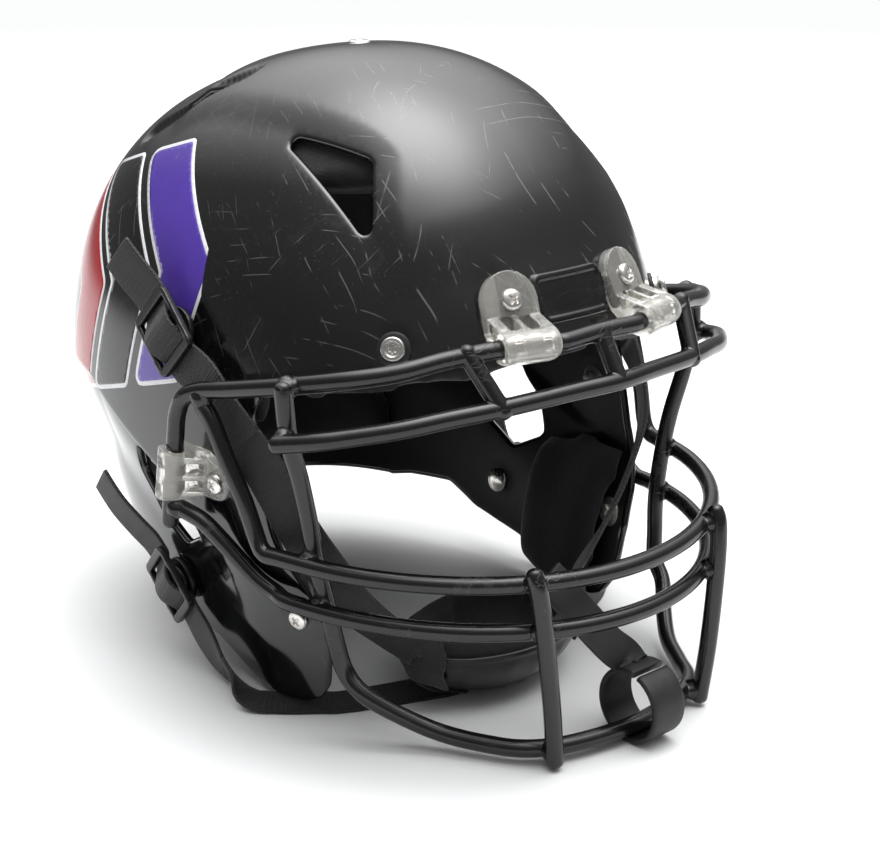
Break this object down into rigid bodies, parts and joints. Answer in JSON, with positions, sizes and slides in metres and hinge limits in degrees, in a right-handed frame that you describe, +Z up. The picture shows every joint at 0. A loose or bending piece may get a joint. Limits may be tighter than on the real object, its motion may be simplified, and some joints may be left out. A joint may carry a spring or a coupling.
{
  "type": "football helmet",
  "caption": "Full-size football helmet: rigid shell with lining pads, wire face guard on clips, and a chin cup hung from straps with snap buckles.",
  "frame": {"origin": "bottom centre of the bounding box, on the surface the helmet stands on", "axes": "+X towards the wearer's left, -Y the way the wearer looks, +Z up"},
  "size_m": [0.2616, 0.3481, 0.2695],
  "materials": {
    "shell": "gloss black moulded shell with fine scratches",
    "plate": "gloss black",
    "valve": "grey moulded",
    "cage": "gloss black coating on steel wire",
    "clip": "clear, slightly yellow moulding",
    "screw": "nickel plated",
    "nut": "plated",
    "stud": "nickel plated",
    "washer": "black",
    "buckle": "black moulding",
    "webbing": "black woven webbing",
    "cup": "black, softly shining",
    "liner": "dark grey foam",
    "tether": "black rubber",
    "pad": "black vinyl over foam"
  },
  "bodies": {
    "helmet": {"shell": "shell", "front_plate": "plate", "crown_valve": "valve", "brow_ring": "cage", "eye_bar": "cage", "upper_mouth_bar": "cage", "lower_mouth_bar": "cage", "chin_wire": "cage", "mouth_uprights": "cage", "brow_posts": "cage", "brow_clip_right": "clip", "brow_clip_left": "clip", "side_clip_right": "clip", "side_clip_left": "clip", "clip_screws": "screw", "clip_nuts": "nut", "jaw_screws": "screw", "jaw_nuts": "nut", "temple_studs": "stud", "strap_studs": "stud", "stud_washers": "washer", "upper_strap_right": "webbing", "upper_strap_left": "webbing", "lower_strap_right": "webbing", "lower_strap_left": "webbing", "brow_pad": "pad", "crown_pad": "pad", "back_pad": "pad", "nape_pad": "pad", "side_pad_right": "pad", "side_pad_left": "pad", "jaw_pad_right": "pad", "jaw_pad_left": "pad"},
    "chin_cup": {"chin_cup": "cup", "chin_pad": "liner"},
    "tether": {"mouthguard_tether": "tether"},
    "upper_buckle_right": {"upper_buckle_right": "buckle"},
    "upper_buckle_left": {"upper_buckle_left": "buckle"},
    "lower_buckle_right": {"lower_buckle_right": "buckle"},
    "lower_buckle_left": {"lower_buckle_left": "buckle"}
  },
  "joints": [
    {"name": "chin_cup_swing", "type": "hinge", "parent": "helmet", "child": "chin_cup", "pos_m": [-0.008, 0.0269, 0.04], "axis": [-1, 0, 0], "range_deg": [0, 25], "deforming": ["upper_strap_right", "upper_strap_left", "lower_strap_right", "lower_strap_left"]},
    {"name": "tether_swing", "type": "hinge", "parent": "helmet", "child": "tether", "pos_m": [0.004, -0.1571, 0.0068], "axis": [-1, 0, 0], "range_deg": [0, 25]},
    {"name": "upper_buckle_swivel_right", "type": "hinge", "parent": "helmet", "child": "upper_buckle_right", "pos_m": [-0.10805, 0.00313, 0.16108], "axis": [-0.9844, -0.0448, 0.17], "range_deg": [-12, 12], "deforming": ["upper_strap_right"]},
    {"name": "upper_buckle_swivel_left", "type": "hinge", "parent": "helmet", "child": "upper_buckle_left", "pos_m": [0.10805, 0.00313, 0.16108], "axis": [0.9844, -0.0448, 0.17], "range_deg": [-12, 12], "deforming": ["upper_strap_left"]},
    {"name": "lower_buckle_swivel_right", "type": "hinge", "parent": "helmet", "child": "lower_buckle_right", "pos_m": [-0.09587, 0.02683, 0.04009], "axis": [-0.9847, 0.0718, -0.1587], "range_deg": [-12, 12], "deforming": ["lower_strap_right"]},
    {"name": "lower_buckle_swivel_left", "type": "hinge", "parent": "helmet", "child": "lower_buckle_left", "pos_m": [0.09587, 0.02683, 0.04009], "axis": [0.9847, 0.0718, -0.1587], "range_deg": [-12, 12], "deforming": ["lower_strap_left"]}
  ]
}
